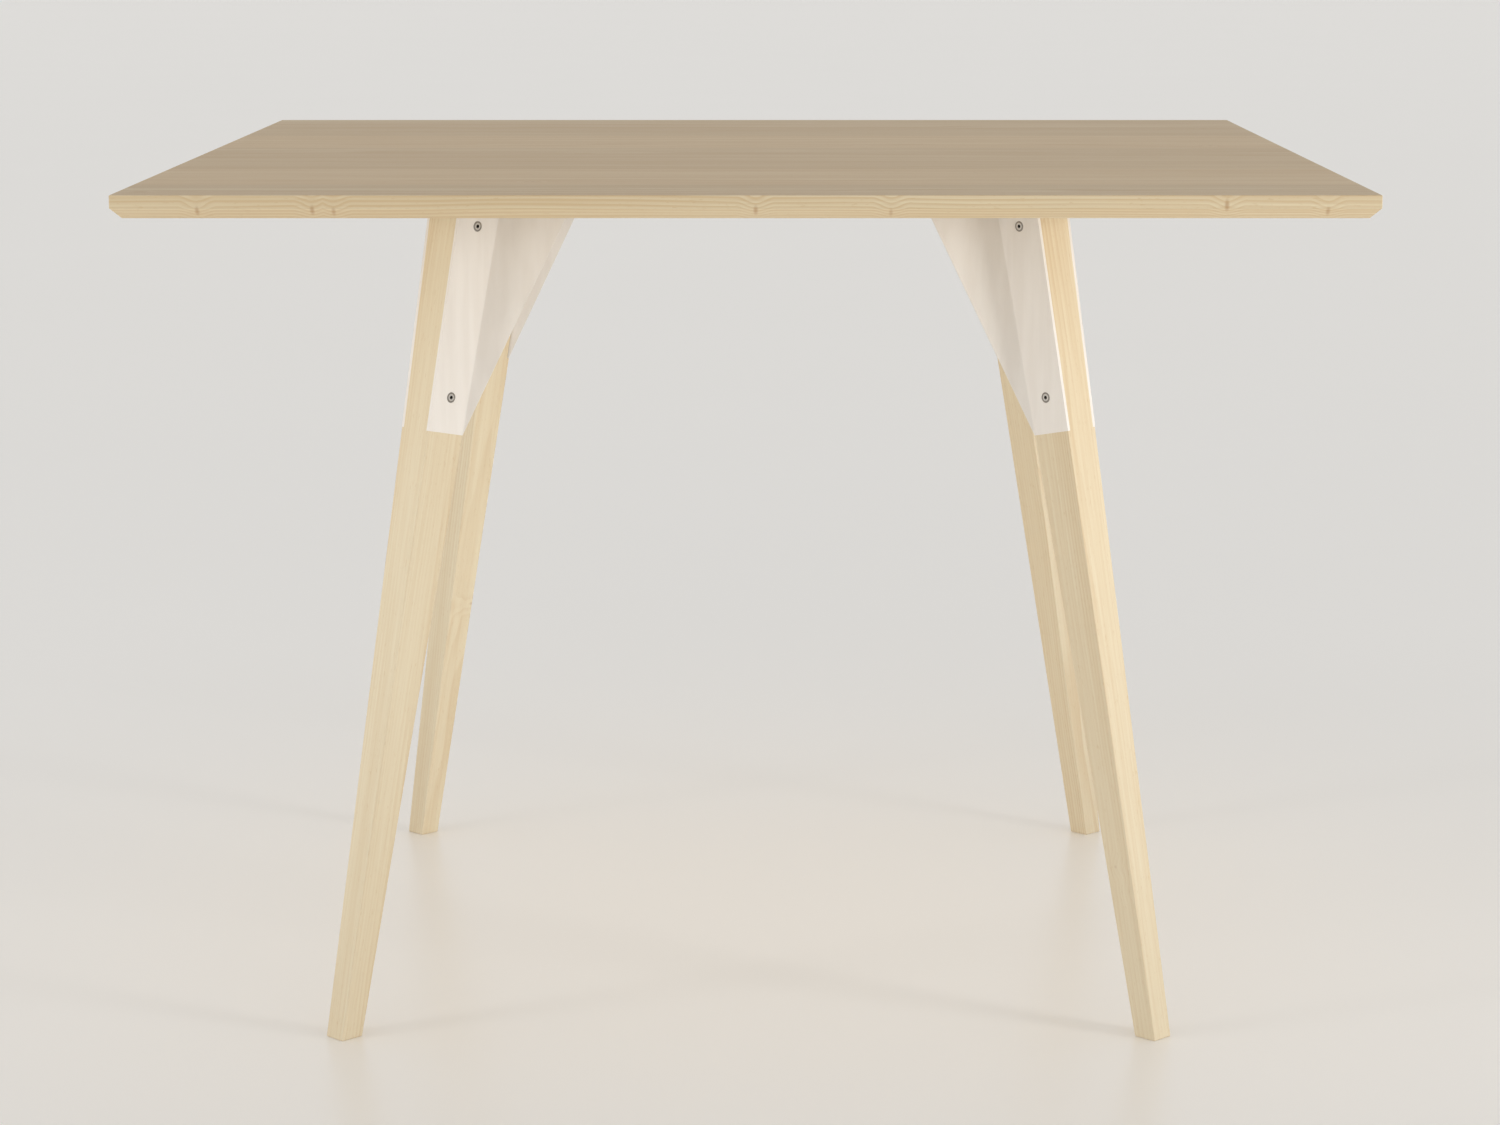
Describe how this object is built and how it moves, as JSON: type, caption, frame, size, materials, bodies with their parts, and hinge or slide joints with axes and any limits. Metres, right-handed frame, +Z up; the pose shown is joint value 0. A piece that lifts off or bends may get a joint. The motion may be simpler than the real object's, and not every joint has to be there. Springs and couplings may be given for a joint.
{
  "type": "communion table",
  "caption": "Square table of solid maple with an under-bevelled top on splayed, tapered legs, each held by a folded white steel bracket.",
  "frame": {"origin": "on the floor, under the middle of the square top", "axes": "+Z up, +X to the right along the grain of the top, +Y to the rear; the front edge faces -Y"},
  "size_m": [1.016, 1.016, 0.746],
  "materials": {
    "maple_top": "clear satin lacquer on hard maple, grain along X",
    "maple_leg": "clear satin lacquer on hard maple, grain along the leg",
    "white_steel": "matt warm white powder coat",
    "screw_steel": "plain steel",
    "brass_insert": "turned brass"
  },
  "bodies": {
    "root": {"tabletop_board_1": "maple_top", "tabletop_board_2": "maple_top", "tabletop_board_3": "maple_top", "tabletop_board_4": "maple_top", "tabletop_board_5": "maple_top", "leg_front_left": "maple_leg", "leg_front_right": "maple_leg", "leg_rear_left": "maple_leg", "leg_rear_right": "maple_leg", "bracket_front_left": "white_steel", "bracket_front_right": "white_steel", "bracket_rear_left": "white_steel", "bracket_rear_right": "white_steel", "leg_screws_front_left": "screw_steel", "leg_screws_front_right": "screw_steel", "leg_screws_rear_left": "screw_steel", "leg_screws_rear_right": "screw_steel", "leg_inserts_front_left": "brass_insert", "leg_inserts_front_right": "brass_insert", "leg_inserts_rear_left": "brass_insert", "leg_inserts_rear_right": "brass_insert", "plate_screws_front_left": "screw_steel", "plate_screws_front_right": "screw_steel", "plate_screws_rear_left": "screw_steel", "plate_screws_rear_right": "screw_steel", "plate_inserts_front_left": "brass_insert", "plate_inserts_front_right": "brass_insert", "plate_inserts_rear_left": "brass_insert", "plate_inserts_rear_right": "brass_insert"}
  },
  "joints": []
}
